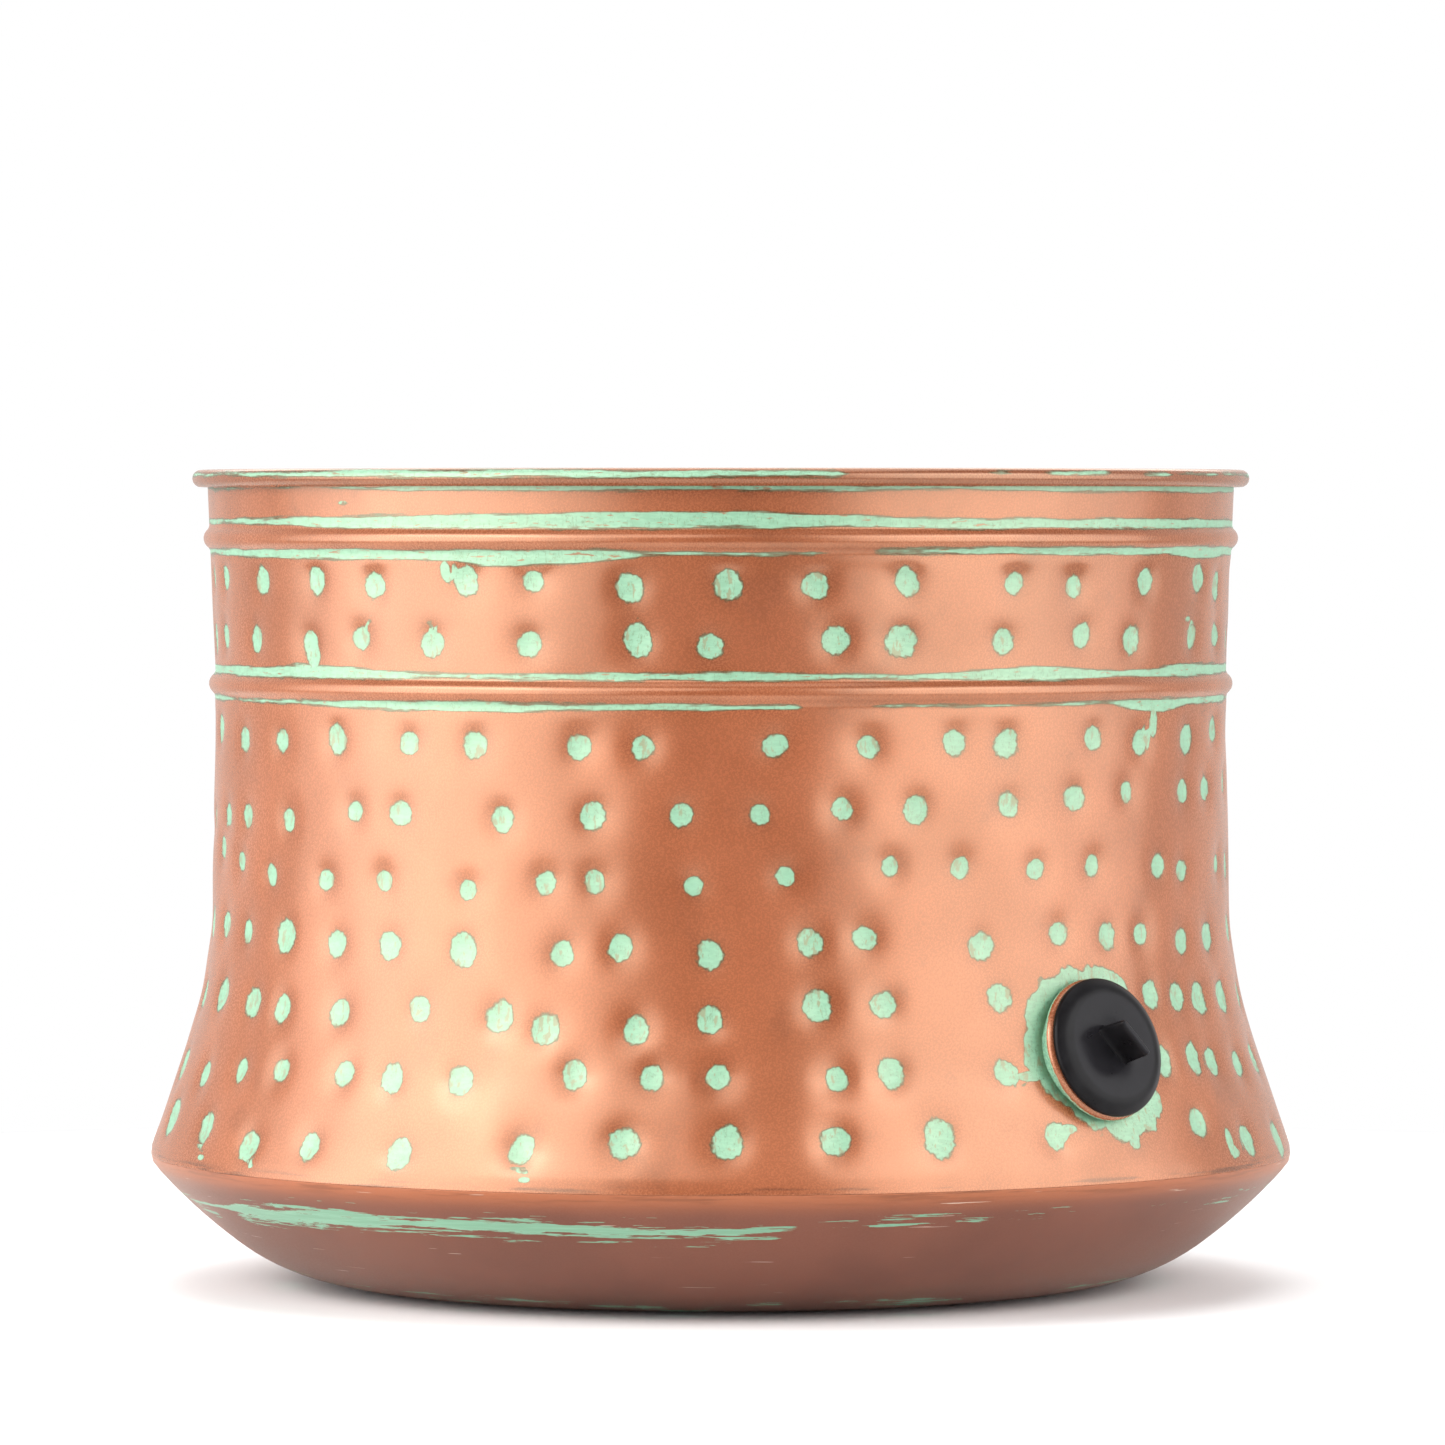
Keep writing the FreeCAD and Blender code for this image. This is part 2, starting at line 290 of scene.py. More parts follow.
ROLL_BAND = ((-90, 317.2, 318.2), (-57, 317.0, 318.4), (-37, 316.2, 318.9), (12, 316.2, 318.8),
             (14, 318.6, 317.0), (28, 318.6, 317.0), (30, 317.0, 318.4), (33, 318.6, 317.0),
             (35, 318.6, 317.0), (37, 317.0, 318.4), (44, 317.1, 318.3), (46, 318.6, 317.0),
             (49, 318.6, 317.0), (51, 317.0, 318.4), (55, 317.1, 318.3), (56, 318.6, 317.0),
             (59, 317.2, 318.3), (66, 317.2, 318.3), (68, 318.6, 317.0), (71, 317.2, 318.3),
             (90, 317.2, 318.2))
ROLL_CREST = 204.0           # radius past which the rim's roll is painted

WAVE_HEIGHT = 0.05           # of each of the slow waves that leave the wall uneven
DENT_WIDE = (9.0, 0.25)      # reach and depth of each dent's wide saucer
DENT_DEEP = (4.7, 1.25)      # reach and depth of its middle
# heights between which the dents fade in and out, under and over the lower bead
HAMMERED_ZONES = (((53.0, 66.0), (222.0, 230.0)), ((242.0, 248.0), (280.0, 287.0)))
PORT_FLAT = (28.0, 44.0)     # distances from the port's axis between which they fade in

FAR = 12.0                   # distance to paint that counts as none near
PORT_SIDE = -25.0            # how far behind the port's mouth the wall is still on its side
NEAR_SIDE = -20.0            # how far behind it the splash and the port's hole can reach


def wrap(degrees):
    return (degrees + 180.0) % 360.0 - 180.0


def smooth(low, high, value):
    share = np.clip((value - low) / (high - low), 0.0, 1.0)
    return share * share * (3.0 - 2.0 * share)


def dents():
    """Azimuth, height, half width, half height, slant and depth share of every dent."""
    draw = random.Random(11)
    found = []

    def strike(azimuth, height, size, share):
        size *= draw.uniform(0.82, 1.16)
        found.append((azimuth, height, DAB_HALF_WIDTH * size * draw.uniform(0.90, 1.10),
                      DAB_HALF_HEIGHT * size * draw.uniform(0.90, 1.10),
                      draw.uniform(-30.0, 30.0), share))

    for number, (count, first, size, heights) in enumerate(DENT_ROWS):
        for i in range(count):
            azimuth = wrap(first + 360.0 * i / count + draw.uniform(-1, 1) * DENT_SCATTER[0])
            mirrored = azimuth
            if abs(azimuth) > 90:
                mirrored = math.copysign(180.0 - abs(azimuth), azimuth)
            height = np.interp(mirrored, *zip(*heights)) + draw.uniform(-1, 1) * DENT_SCATTER[1]
            sideways = KNUCKLE_RADIUS * math.radians(azimuth - PORT_AZIMUTH)
            rise = height - PORT_PLACE[2]
            if abs(sideways) > PORT_CLEAR[0] or abs(rise) > PORT_CLEAR[1]:
                strike(azimuth, height, size, DEEPER_SHARE if number >= DEEPER_ROWS else 1.0)
    for turn, rise in PORT_DENTS:
        strike(PORT_AZIMUTH + turn, PORT_PLACE[2] + rise, 1.0, 1.0)
    return found


def ellipse_place(across, up, half_width, half_height, slant):
    """Place in a slanted ellipse's own axes, as shares of its half width and half height."""
    turn = math.radians(slant)
    u = across * math.cos(turn) + up * math.sin(turn)
    v = up * math.cos(turn) - across * math.sin(turn)
    return u / half_width, v / half_height


def streak_distance(table, azimuth, height):
    """Signed distance to a band of paint whose table goes all the way round."""
    places, lows, highs = zip(*table)
    low = np.interp(azimuth, places, lows)
    high = np.interp(azimuth, places, highs)
    return np.maximum(low - height, height - high)


def band_distance(table, azimuth, height):
    """Signed distance to a band of paint whose back half mirrors its front half."""
    folded = np.where(np.abs(azimuth) > 90, np.sign(azimuth) * 180.0 - azimuth, azimuth)
    return streak_distance(table, folded, height)


def splash_distance(x, y, z):
    across, up, out = port_coordinates(x, y, z)
    angle = np.degrees(np.arctan2(up, across)) % 360.0
    distance = np.hypot(across, up) - np.interp(angle, *zip(*SPLASH_REACH))
    return np.where(out > NEAR_SIDE, distance, FAR)


def painted_where(mask, distance):
    """Distance to paint, which is far wherever the mask has none."""
    return np.where(mask, np.minimum(distance, FAR), FAR)


def waves(azimuth, height):
    """Slow hammered unevenness of the wall, in millimetres."""
    draw = random.Random(5)
    total = np.zeros_like(azimuth)
    for _ in range(12):
        around = draw.randint(9, 22)
        rise = 2 * math.pi / draw.uniform(60.0, 130.0) * draw.choice((-1, 1))
        total += WAVE_HEIGHT * np.sin(around * np.radians(azimuth) + rise * height
                               + draw.uniform(0.0, 2 * math.pi))
    return total


# ---- meshes ---------------------------------------------------------------------------------
def ring_grid(profile, columns):
    """Points of a closed profile turned about the pot's axis, with their azimuths."""
    azimuth = np.arange(columns) * 360.0 / columns
    around, radius = np.meshgrid(azimuth, profile[:, 0])
    _, height = np.meshgrid(azimuth, profile[:, 1])
    return wrap(around), radius, height


def ring_mesh(name, x, y, z):
    """Mesh of a torus-like grid: rows close on themselves, and so do columns."""
    rows, columns = x.shape
    below = np.arange(rows * columns).reshape(rows, columns)
    above = np.roll(below, -1, axis=0)
    faces = np.stack([below, np.roll(below, -1, axis=1), np.roll(above, -1, axis=1), above],
                     axis=-1).reshape(-1, 4)
    points = np.stack([x, y, z], axis=-1).reshape(-1, 3) * MM
    mesh = bpy.data.meshes.new(name)
    mesh.from_pydata(points.tolist(), [], faces.tolist())
    mesh.update()
    return mesh


def add_values(mesh, name, values):
    layer = mesh.attributes.new(name, "FLOAT", "POINT")
    layer.data.foreach_set("value", np.asarray(values, dtype=np.float32).reshape(-1))


def smooth_faces(mesh):
    mesh.polygons.foreach_set("use_smooth", [True] * len(mesh.polygons))
    mesh.update()


def add_piece(name, mesh, body, slot, material, *nodes):
    """Object for a mesh that rides on a body and stands for CAD nodes."""
    smooth_faces(mesh)
    piece = bpy.data.objects.new(name, mesh)
    bpy.context.scene.collection.objects.link(piece)
    mesh.materials.append(material)
    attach(piece, body)
    if nodes:
        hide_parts(*nodes)
    return piece


def open_port(mesh):
    """Cut the port's hole through both faces of the wall and close its edge."""
    hole = PORT_BORE_RADIUS + COLLAR_SHEET + PORT_FIT
    to_port = Matrix([PORT_LEVEL, PORT_RISE, PORT_AXIS])
    origin = Vector(PORT_PLACE) * MM
    work = bmesh.new()
    work.from_mesh(mesh)

    def local(point):
        return to_port @ (point - origin)

    gone = []
    for face in work.faces:
        place = local(face.calc_center_median())
        if place.z > NEAR_SIDE * MM and math.hypot(place.x, place.y) < hole * MM:
            gone.append(face)
    bmesh.ops.delete(work, geom=gone, context="FACES")
    edges = [edge for edge in work.edges if edge.is_boundary]
    for vert in {vert for edge in edges for vert in edge.verts}:
        place = local(vert.co)
        scale = hole * MM / math.hypot(place.x, place.y)
        place.x *= scale
        place.y *= scale
        vert.co = origin + to_port.transposed() @ place
    bmesh.ops.bridge_loops(work, edges=edges)
    bmesh.ops.recalc_face_normals(work, faces=work.faces)
    work.to_mesh(mesh)
    work.free()


def wall_profile():
    """Closed profile of the wall's sheet, with its rows on the face and on the rim's roll."""
    start = KNUCKLE + np.array([0.0, SEAM_GAP])
    face, _, _ = trace(start, 90.0, NECK + CURL)
    back, _, _ = trace(start, 90.0, NECK + CURL, SHEET)
    rim_turn = trace(start, 90.0, NECK)[0].shape[0]
    neck_rows = with_edges(thin(face[:rim_turn], WALL_ROW, WALL_PAINT_HEIGHTS))
    curl_rows = thin(face[rim_turn:], CURL_ROW)
    back_rows = with_edges(thin(back[:rim_turn], INNER_ROW))
    roll_rows = thin(back[rim_turn:], FINE_ROW)
    profile = np.vstack([neck_rows, curl_rows, roll_rows[::-1], back_rows[::-1]])
    row = np.arange(len(profile))
    roll_start = len(neck_rows) + len(curl_rows)
    on_face = row < len(neck_rows)
    on_roll = (row >= roll_start) & (row < roll_start + len(roll_rows))
    return profile, on_face, on_roll


def wall_depth(azimuth, radius, height, from_port, struck):
    """How far the dents and the slow waves set the wall's sheet back."""
    free = sum(smooth(*start, height) * (1 - smooth(*end, height))
               for start, end in HAMMERED_ZONES)
    free = free * smooth(*PORT_FLAT, from_port)
    depth = waves(azimuth, height) * free
    for place, level, _, _, _, share in struck:
        sideways = radius * np.radians(wrap(azimuth - place))
        distance = np.hypot(sideways, height - level)
        for reach, deepest in (DENT_WIDE, DENT_DEEP):
            depth += free * share * deepest * np.exp(-(distance / reach) ** 2 / 2)
    return depth


def wall_dabs(azimuth, radius, height, struck):
    """Signed distance to the nearest dab of paint, and the place in that dab's own axes."""
    nearest, across, up = [np.full_like(radius, FAR) for _ in range(3)]
    dabs = [dent[:5] for dent in struck] + [(*extra, 0.0) for extra in EXTRA_DABS]
    for place, level, half_width, half_height, slant in dabs:
        sideways = radius * np.radians(wrap(azimuth - place))
        u, v = ellipse_place(sideways, height - level, half_width, half_height, slant)
        distance = (np.hypot(u, v) - 1.0) * min(half_width, half_height)
        nearer = distance < nearest
        for values, found in ((nearest, distance), (across, u), (up, v)):
            values[nearer] = found[nearer]
    return nearest, across, up


def wall_mesh():
    profile, on_face, on_roll = wall_profile()
    azimuth, radius, height = ring_grid(profile, WALL_COLUMNS)
    on_face = np.repeat(on_face[:, None], WALL_COLUMNS, axis=1)
    on_roll = np.repeat(on_roll[:, None], WALL_COLUMNS, axis=1)
    angle = np.radians(azimuth)
    x, y = radius * np.sin(angle), -radius * np.cos(angle)
    across, up, out = port_coordinates(x, y, height)
    from_port = np.where(out > PORT_SIDE, np.hypot(across, up), math.inf)

    struck = dents()
    depth = wall_depth(azimuth, radius, height, from_port, struck)
    dabs, dab_across, dab_up = wall_dabs(azimuth, radius, height, struck)
    splash = splash_distance(x, y, height)
    bands = np.full_like(radius, FAR)
    for table in BANDS:
        bands = np.minimum(bands, band_distance(table, azimuth, height))
    roll_band = np.where(radius > ROLL_CREST, band_distance(ROLL_BAND, azimuth, height), FAR)

    radius = radius - depth
    x, y = radius * np.sin(angle), -radius * np.cos(angle)
    mesh = ring_mesh("hammered_wall", x, y, height)
    add_values(mesh, "dabs", painted_where(on_face, dabs))
    add_values(mesh, "dab_across", dab_across)
    add_values(mesh, "dab_up", dab_up)
    add_values(mesh, "splash", painted_where(on_face, splash))
    add_values(mesh, "bands", np.where(on_roll, painted_where(on_roll, roll_band),
                                       painted_where(on_face, bands)))
    add_values(mesh, "inside", np.where(on_face | on_roll, 0.0, 1.0))
    open_port(mesh)
    return mesh


# ragged brush streak round the bowl: azimuth, lowest and highest height
STREAK = ((-180, 44, 43), (-76, 37, 36), (-73, 33.5, 36.0), (-69, 33.5, 36.0), (-67, 37, 36),
          (-63, 37, 36), (-60, 33.0, 39.8), (-49, 32.4, 40.6), (-42, 33.0, 40.8),
          (-31, 33.4, 40.0), (-19, 34.0, 40.0), (-8, 33.2, 39.2), (1, 33.6, 38.8),
          (5, 35.6, 37.8), (8, 41, 39), (14, 41, 39), (16, 38.8, 39.8), (24, 38.8, 39.8),
          (27, 41, 39), (32, 41, 39), (180, 43, 42))
LOW_STREAK = ((-180, 9, 8), (-10, 5, 4), (-7, 2.2, 2.9), (-3, 2.2, 2.8), (0, 5, 4), (180, 9, 8))


def bowl_mesh():
    outer, _, _ = trace(BOWL_START, BOWL_HEADING, BOWL_STEPS + JOGGLE)
    inner, _, _ = trace(BOWL_START, BOWL_HEADING, BOWL_STEPS, SHEET)
    flange_near = SHEET + SEAM_GAP
    flange_far = flange_near + SHEET
    flange = [("turn", KNUCKLE_UPPER_BEND, FLARE_SLOPE), ("go", FLANGE_STRAIGHT)]
    flange_outer, _, _ = trace(KNUCKLE, 90.0, flange, flange_near)
    flange_inner, _, _ = trace(KNUCKLE, 90.0, flange, flange_far)
    joggle_inner, _, _ = trace(JOGGLE_START, JOGGLE_HEADING, JOGGLE, flange_far)
    outer_rows = with_edges(thin(outer, BOWL_ROW, BOWL_PAINT_HEIGHTS))
    profile = np.vstack([
        outer_rows,
        with_edges(thin(flange_outer, FLANGE_ROW)),
        thin(flange_inner, FLANGE_ROW)[::-1],
        joggle_inner[:1],
        thin(inner, INNER_ROW)[::-1]])
    azimuth, radius, height = ring_grid(profile, BOWL_COLUMNS)
    angle = np.radians(azimuth)
    mesh = ring_mesh("spun_bowl", radius * np.sin(angle), -radius * np.cos(angle), height)
    on_face = np.arange(len(profile))[:, None] < len(outer_rows)
    on_face = np.repeat(on_face, BOWL_COLUMNS, axis=1)
    streak = np.full_like(radius, FAR)
    for table in (STREAK, LOW_STREAK):
        streak = np.minimum(streak, streak_distance(table, azimuth, height))
    add_values(mesh, "streak", painted_where(on_face, streak))
    add_values(mesh, "inside", np.where(on_face, 0.0, 1.0))
    return mesh


def lathe_at_port(name, profile):
    """Closed profile of (radius, height) turned about the port's axis."""
    azimuth = np.arange(LATHE_COLUMNS) * 2 * math.pi / LATHE_COLUMNS
    around, radius = np.meshgrid(azimuth, profile[:, 0])
    _, rise = np.meshgrid(azimuth, profile[:, 1])
    across, up = radius * np.cos(around), radius * np.sin(around)
    x, y, z = [PORT_PLACE[i] + across * PORT_LEVEL[i] + up * PORT_RISE[i] + rise * PORT_AXIS[i]
               for i in range(3)]
    return ring_mesh(name, x, y, z), radius, rise


def collar_mesh():
    start = (PORT_BORE_RADIUS + CLINCH_BEND + CLINCH_FLAT, COLLAR_INNER_END)
    barrel = COLLAR_TOP - COLLAR_INNER_END - CLINCH_BEND - LIP_ROLL_RADIUS
    steps = [("go", CLINCH_FLAT), ("turn", CLINCH_BEND, -90.0), ("go", barrel),
             ("turn", LIP_ROLL_RADIUS, -LIP_CURL)]
    bore, _, _ = trace(start, 180.0, steps, 0.0)
    outside, _, _ = trace(start, 180.0, steps, -COLLAR_SHEET)
    profile = np.vstack([thin(bore, EYELET_ROW), thin(outside, EYELET_ROW)[::-1]])
    mesh, _, rise = lathe_at_port("port_eyelet", profile)
    add_values(mesh, "rise", rise)
    return mesh


def rounded(corners, radius, steps=6):
    """Closed outline with each corner rounded, corners given as (radius, height, rounding)."""
    points = []
    count = len(corners)
    for i, (u, v, share) in enumerate(corners):
        here = np.array([u, v])
        before = np.array(corners[i - 1][:2]) - here
        after = np.array(corners[(i + 1) % count][:2]) - here
        cut = min(radius * share, np.linalg.norm(before) * 0.48, np.linalg.norm(after) * 0.48)
        if cut < 0.02:
            points.append(here)
            continue
        first = here + before / np.linalg.norm(before) * cut
        last = here + after / np.linalg.norm(after) * cut
        for t in np.linspace(0.0, 1.0, steps):
            points.append(first * (1 - t) ** 2 + here * 2 * t * (1 - t) + last * t * t)
    return np.array(points)


def plug_mesh():
    seat = COLLAR_TOP + PLUG_CLEARANCE
    stem = PORT_BORE_RADIUS - PLUG_CLEARANCE
    hollow = stem - PLUG_WALL
    face = seat + PLUG_FACE_HEIGHT
    middle = 0.4
    corners = [
        (middle, seat - PLUG_WALL / 2, 0), (hollow, seat - PLUG_WALL / 2, 1.0),
        (hollow, PLUG_STEM_END, 0.6), (stem - 1.5, PLUG_STEM_END, 0.6),
        (stem, PLUG_STEM_END + 3.0, 1.0), (stem, seat, 0.4), (PLUG_CAP_RADIUS, seat, 0.7),
        (PLUG_CAP_RADIUS, seat + 2.2, 1.6), (PLUG_FACE_RADIUS + 2.6, face - 0.9, 2.2),
        (PLUG_FACE_RADIUS - 0.6, face - 0.15, 1.2), (middle, face - PLUG_DISH, 0)]
    profile = rounded(corners, 1.5)
    mesh, radius, rise = lathe_at_port("plug_body", profile)
    # paler face: dust together with a painted sheen
    add_values(mesh, "dust_and_sheen", smooth(PLUG_FACE_RADIUS + 0.6, PLUG_FACE_RADIUS - 0.8, radius)
               * (rise > seat))
    return mesh


def tab_mesh():
    """Pull tab: a fin with rounded corners and a base that spreads into the plug's face."""
    face = COLLAR_TOP + PLUG_CLEARANCE + PLUG_FACE_HEIGHT - PLUG_DISH
    layers = [(-1.0, 1.06, 1.7), (0.0, 1.04, 1.5), (0.9, 1.0, 1.15), (2.4, 1.0, 1.0),
              (6.0, 0.99, 0.92), (TAB_REACH - 2.2, 0.98, 0.84), (TAB_REACH - 0.8, 0.955, 0.70),
              (TAB_REACH - 0.2, 0.92, 0.50), (TAB_REACH, 0.88, 0.30)]
    turn = math.radians(TAB_TURN)
    work = bmesh.new()
    rings = []
    for rise, length_share, thickness_share in layers:
        ring = []
        for i in range(TAB_COLUMNS):
            angle = 2 * math.pi * i / TAB_COLUMNS
            u = math.copysign(abs(math.cos(angle)) ** TAB_SQUARENESS, math.cos(angle))
            v = math.copysign(abs(math.sin(angle)) ** TAB_SQUARENESS, math.sin(angle))
            u *= TAB_LENGTH / 2 * length_share
            v *= TAB_THICKNESS / 2 * thickness_share
            across = u * math.cos(turn) - v * math.sin(turn)
            up = u * math.sin(turn) + v * math.cos(turn)
            point = (PORT_PLACE + across * PORT_LEVEL + up * PORT_RISE
                     + (face + rise) * PORT_AXIS) * MM
            ring.append(work.verts.new(point))
        rings.append(ring)
    for low, high in zip(rings, rings[1:]):
        for i in range(TAB_COLUMNS):
            j = (i + 1) % TAB_COLUMNS
            work.faces.new((low[i], low[j], high[j], high[i]))
    work.faces.new(rings[-1])
    work.faces.new(rings[0][::-1])
    bmesh.ops.recalc_face_normals(work, faces=work.faces)
    mesh = bpy.data.meshes.new("plug_pull_tab")
    work.to_mesh(mesh)
    work.free()
    on_end = np.arange(len(mesh.vertices)) // TAB_COLUMNS >= len(layers) - 2
    # the tip of the tab takes the paler grey as a painted highlight on its crest
    add_values(mesh, "dust_and_sheen", np.where(on_end, 1.3, 0.0))
    return mesh


# ---- materials ------------------------------------------------------------------------------
class Look:
    """Procedural material with one Principled shader."""

    def __init__(self, name, **fixed):
        self.material = bpy.data.materials.new(name)
        self.material.use_nodes = True
        self.tree = self.material.node_tree
        self.tree.nodes.clear()
        self.shader = self.add("ShaderNodeBsdfPrincipled", fixed)
        output = self.add("ShaderNodeOutputMaterial", {})
        self.tree.links.new(self.shader.outputs[0], output.inputs[0])
        self.place = self.add("ShaderNodeTexCoord", {}).outputs["Object"]

    def add(self, kind, inputs, **settings):
        node = self.tree.nodes.new(kind)
        for key, value in settings.items():
            setattr(node, key, value)
        for key, value in inputs.items():
            if isinstance(value, bpy.types.NodeSocket):
                self.tree.links.new(value, node.inputs[key])
            else:
                node.inputs[key].default_value = value
        return node

    def math(self, operation, first, second=0.0):
        return self.add("ShaderNodeMath", {0: first, 1: second}, operation=operation).outputs[0]

    def step(self, value, low, high, start=0.0, end=1.0):
        inputs = {"Value": value, "From Min": low, "From Max": high, "To Min": start,
                  "To Max": end}
        return self.add("ShaderNodeMapRange", inputs, interpolation_type="SMOOTHSTEP").outputs[0]

    def mix(self, share, first, second):
        inputs = {0: share}
        for key, colour in ((6, first), (7, second)):
            is_socket = isinstance(colour, bpy.types.NodeSocket)
            inputs[key] = colour if is_socket else (*colour, 1.0)
        return self.add("ShaderNodeMix", inputs, data_type="RGBA").outputs[2]

    def noise(self, feature, detail=2.0, stretch=(1, 1, 1), roughness=0.5):
        """Noise whose features are about this many millimetres across."""
        mapping = self.add("ShaderNodeMapping", {"Vector": self.place, "Scale": stretch})
        inputs = {"Vector": mapping.outputs[0], "Scale": 1000.0 / feature, "Detail": detail,
                  "Roughness": roughness}
        return self.add("ShaderNodeTexNoise", inputs).outputs["Fac"]

    def height(self):
        """Height above the ground, in metres."""
        return self.add("ShaderNodeSeparateXYZ", {0: self.place}).outputs["Z"]

    def scuffs(self):
        """Broken lines of wear that run round the pot."""
        return self.step(self.noise(8.0, 4.0, (0.18, 0.18, 4.0), 0.65), 0.50, 0.62)

    def value(self, name):
        return self.add("ShaderNodeAttribute", {}, attribute_name=name).outputs["Fac"]

    def swing(self, source, size):
        """Noise centred on zero, with a typical swing of size either way."""
        centred = self.math("SUBTRACT", source, 0.5)
        return self.math("MULTIPLY", centred, size * 4.0)

    def ragged(self, edge, *swings):
        """Distance to an edge, moved by each noise by about its own number of millimetres."""
        for source, size in swings:
            edge = self.math("ADD", edge, self.swing(source, size))
        return edge

    def feed(self, socket, value):
        self.tree.links.new(value, self.shader.inputs[socket])

    def feed_metallic(self, paint, bare):
        """Metallic of bare where there is no paint, and none under it."""
        uncovered = self.math("SUBTRACT", 1.0, paint)
        self.feed("Metallic", self.math("MULTIPLY", uncovered, bare))

    def bump(self, height, distance, strength=1.0):
        node = self.add("ShaderNodeBump", {"Height": height, "Distance": distance * MM,
                                           "Strength": strength})
        self.feed("Normal", node.outputs[0])


GRID_SLACK = 1.2             # millimetres by which the wall's grid may misplace a dab's edge
GREEN_LIGHT = (0.205, 0.410, 0.280)
GREEN_DEEP = (0.160, 0.340, 0.225)
# paler green on the eyelet's neck: painted light that lifts the shade under its lip
GREEN_NECK_PAINTED_LIGHT = (0.300, 0.560, 0.380)
GREEN_SCRATCH = (0.085, 0.130, 0.075)
GREEN_WORN = (0.190, 0.190, 0.110)
GREEN_EDGE = (0.070, 0.062, 0.030)
COPPER = (0.330, 0.098, 0.041)
COPPER_WARM = (0.285, 0.080, 0.031)
COPPER_BROWN = (0.13, 0.038, 0.018)
# browner copper of the bowl, darkened further as painted shade of its downward-facing underside
BOWL_SHADED_DEEP = (0.136, 0.039, 0.025)
BOWL_SHADED_PALE = (0.168, 0.050, 0.031)
BOWL_GRAIN = (0.30, 0.15, 0.11)
BOWL_SCRATCH = (0.70, 0.60, 0.50)
RUBBER_DARK = (0.0045, 0.004, 0.0045)
RUBBER_LIGHT = (0.008, 0.0075, 0.0085)
# paler grey of the plug's face and the tab's tip: dust together with a painted sheen and highlight
RUBBER_DUST_AND_SHEEN = (0.024, 0.023, 0.027)
WIRE_GREY = (0.45, 0.44, 0.43)
RING_GREY = (0.50, 0.49, 0.47)
SPECULAR_TINT = (1.0, 0.86, 0.62, 1.0)
# heights in metres between which a look changes
WALL_FOOT = (0.0525, 0.0555)
# painted shade: heights over which the wall darkens towards the collar
SHADED_WALL_TOP = (0.215, 0.250)
# painted shade: heights past which the rim's roll is darker
SHADED_RIM_ROLL = (0.3120, 0.3145)
# painted shade: heights over which the bowl lightens to the wall's copper
BOWL_SHADE_TOP = (0.041, 0.0515)
BOWL_WEAR = (0.045, 0.051)
EYELET_NECK = (4.7, 5.0)     # rises in millimetres past which the eyelet is bare


def hammered_dabs(look, grid_edge):
    """Distance to the nearest dab, round in its own axes where the grid is too coarse."""
    squared = [look.math("POWER", look.math("ABSOLUTE", look.value(name)), 2.0)
               for name in ("dab_across", "dab_up")]
    ratio = look.math("SQRT", look.math("ADD", *squared))
    round_edge = look.math("MULTIPLY", look.math("SUBTRACT", ratio, 1.0), DAB_HALF_WIDTH)
    dabs = look.math("MAXIMUM", round_edge, look.math("SUBTRACT", grid_edge, GRID_SLACK))
    return look.ragged(dabs, (look.noise(6.0, 2.0), 0.78), (look.noise(1.5, 2.0), 0.32))


def hammered_green(look, dab_paint):
    """Brushed green with thin dark scratches, worn thin in places on the dabs."""
    strokes = look.noise(3.0, 4.0, (1, 1, 3))
    green = look.mix(look.step(strokes, 0.35, 0.65), GREEN_DEEP, GREEN_LIGHT)
    lines = look.noise(2.4, 2.0, (2.2, 2.2, 0.6), 0.5)
    off_line = look.math("ABSOLUTE", look.math("ADD", lines, -0.59))
    green = look.mix(look.step(off_line, 0.005, 0.024, 0.7, 0.0), green, GREEN_SCRATCH)
    upright = look.noise(3.4, 3.0, (1.5, 1.5, 0.55), 0.6)
    upright = look.ragged(upright, (look.noise(17.0, 1.0), 0.055))
    worn = look.math("MULTIPLY", dab_paint, look.step(upright, 0.585, 0.625, 0.0, 0.8))
    return look.mix(worn, green, GREEN_WORN)


def hammered_copper(look, grain, grid_edge):
    """Clouded copper, browner in its grain, stains and wear, by the dabs and inside, and darker
    high up and on the rim's roll as painted shade.
    """
    copper = look.mix(look.step(look.noise(38.0, 3.0), 0.35, 0.65), COPPER_WARM, COPPER)
    height = look.height()
    foot = look.math("MULTIPLY", look.step(height, *WALL_FOOT, 0.9, 0.0), look.scuffs())
    stain = look.noise(26.0, 6.0, roughness=0.62)
    for share in (look.step(grain, 0.30, 0.60, 0.10, 0.0),
                  look.step(grid_edge, 0.0, 6.0, 0.18, 0.0),
                  foot,
                  look.step(stain, 0.56, 0.68, 0.0, 0.22),
                  # painted shade, darker towards the collar
                  look.step(height, *SHADED_WALL_TOP, 0.0, 0.13),
                  # painted shade on the rim's roll
                  look.step(height, *SHADED_RIM_ROLL, 0.0, 0.5),
                  look.math("MULTIPLY", look.value("inside"), 0.35)):
        copper = look.mix(share, copper, COPPER_BROWN)
    return copper


